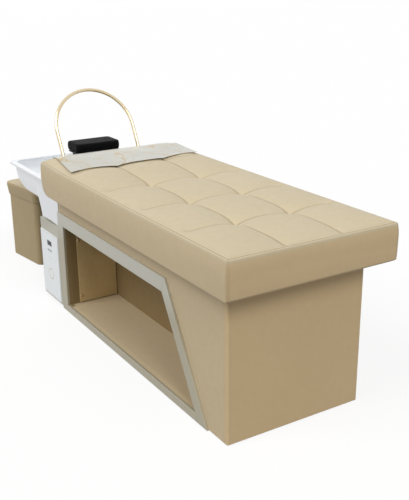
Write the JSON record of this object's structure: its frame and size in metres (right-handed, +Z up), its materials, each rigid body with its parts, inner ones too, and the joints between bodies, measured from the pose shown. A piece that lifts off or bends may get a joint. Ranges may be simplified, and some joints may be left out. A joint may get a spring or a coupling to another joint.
{
  "type": "hair washing bed",
  "caption": "Tufted leather bed on an open-niche pedestal, with a basin, a leaning water arch, a neck rest, a water cabinet and a loose padded stool.",
  "frame": {"origin": "on the floor under the middle of the cushion's length and width", "axes": "+X towards the foot end, +Z up, the near side with the white panel at -Y"},
  "size_m": [2.4597, 0.7, 0.9763],
  "materials": {
    "leather": "matte grain",
    "cushion_cover": "coated like leather, matte grain",
    "sheet": "glossy, veined",
    "trim_metal": "satin paint",
    "cabinet_paint": "satin paint on board",
    "white_panel": "gloss",
    "window": "gloss",
    "button_plastic": "matte",
    "basin_ceramic": "gloss",
    "steel": "brushed",
    "arch_metal": "satin",
    "black_metal": "satin",
    "black_rubber": "satin",
    "board": "matte",
    "lining": "matte",
    "service_metal": "satin",
    "tank_plastic": "matte",
    "dark_plastic": "matte",
    "hose_rubber": "matte",
    "brass": "satin"
  },
  "bodies": {
    "bed": {"arch_brackets": "steel", "arch_hose": "hose_rubber", "base_board": "lining", "basin_shell": "basin_ceramic", "cabinet_base": "cabinet_paint", "cabinet_end": "cabinet_paint", "cabinet_side_far": "cabinet_paint", "cabinet_side_near": "cabinet_paint", "cabinet_top": "cabinet_paint", "cap_screws": "steel", "circulation_pump": "dark_plastic", "control_box": "dark_plastic", "control_panel": "white_panel", "cord_gland": "dark_plastic", "deck_ribs": "board", "display_window": "window", "drain_flange": "steel", "drain_nut": "tank_plastic", "drain_outlet": "tank_plastic", "drain_pipe": "tank_plastic", "feed_hose": "hose_rubber", "floor_glides": "black_rubber", "foot_panel": "leather", "head_bulkhead": "board", "head_sheet": "sheet", "heater_clips": "steel", "heater_tube": "steel", "mattress": "cushion_cover", "mattress_board": "board", "neck_bracket": "black_metal", "niche_back_far": "lining", "niche_back_near": "lining", "niche_ceiling": "lining", "niche_head_wall": "lining", "niche_slope": "lining", "service_panel_far": "service_metal", "service_panel_near": "service_metal", "side_panel_far": "leather", "side_panel_near": "leather", "swivel_pins": "steel", "swivel_seals": "black_rubber", "tank_lid": "tank_plastic", "top_deck": "board", "trim_frame_far": "trim_metal", "trim_frame_near": "trim_metal", "water_inlet": "brass", "water_tank": "tank_plastic"},
    "arch": {"arch_tube": "arch_metal", "arch_hubs": "arch_metal"},
    "neck_rest": {"neck_pad": "black_rubber", "neck_frame": "black_metal"},
    "knob_near": {"clamp_knob_near": "dark_plastic"},
    "knob_far": {"clamp_knob_far": "dark_plastic"},
    "less_button": {"button_less": "button_plastic"},
    "power_button": {"button_power": "button_plastic"},
    "more_button": {"button_more": "button_plastic"},
    "basket": {"drain_basket": "steel"},
    "stool": {"stool_box": "leather"},
    "stool_lid": {"stool_lid_board": "board", "stool_lid_pad": "cushion_cover"}
  },
  "joints": [
    {"name": "arch_tilt", "type": "hinge", "parent": "bed", "child": "arch", "pos_m": [-0.8129, 0, 0.622], "axis": [0, 1, 0], "range_deg": [-55, 28.5]},
    {"name": "neck_height", "type": "slide", "parent": "bed", "child": "neck_rest", "axis": [0, 0, 1], "range_m": [-0.03, 0.03]},
    {"name": "knob_near_turn", "type": "hinge", "parent": "bed", "child": "knob_near", "pos_m": [-0.96, -0.115, 0.63], "axis": [0, -1, 0], "range_deg": [0, 360]},
    {"name": "knob_far_turn", "type": "hinge", "parent": "bed", "child": "knob_far", "pos_m": [-0.96, 0.115, 0.63], "axis": [0, 1, 0], "range_deg": [0, 360]},
    {"name": "less_press", "type": "slide", "parent": "bed", "child": "less_button", "axis": [0, 1, 0], "range_m": [0, 0.0012], "stiffness_N_per_m": 400},
    {"name": "power_press", "type": "slide", "parent": "bed", "child": "power_button", "axis": [0, 1, 0], "range_m": [0, 0.0012], "stiffness_N_per_m": 400},
    {"name": "more_press", "type": "slide", "parent": "bed", "child": "more_button", "axis": [0, 1, 0], "range_m": [0, 0.0012], "stiffness_N_per_m": 400},
    {"name": "basket_lift", "type": "slide", "parent": "bed", "child": "basket", "axis": [0, 0, 1], "range_m": [0, 0.06]},
    {"name": "stool_pull_out", "type": "slide", "parent": "bed", "child": "stool", "axis": [-1, 0, 0], "range_m": [0, 0.4]},
    {"name": "stool_lid_lift", "type": "slide", "parent": "stool", "child": "stool_lid", "axis": [0, 0, 1], "range_m": [0, 0.12]}
  ]
}
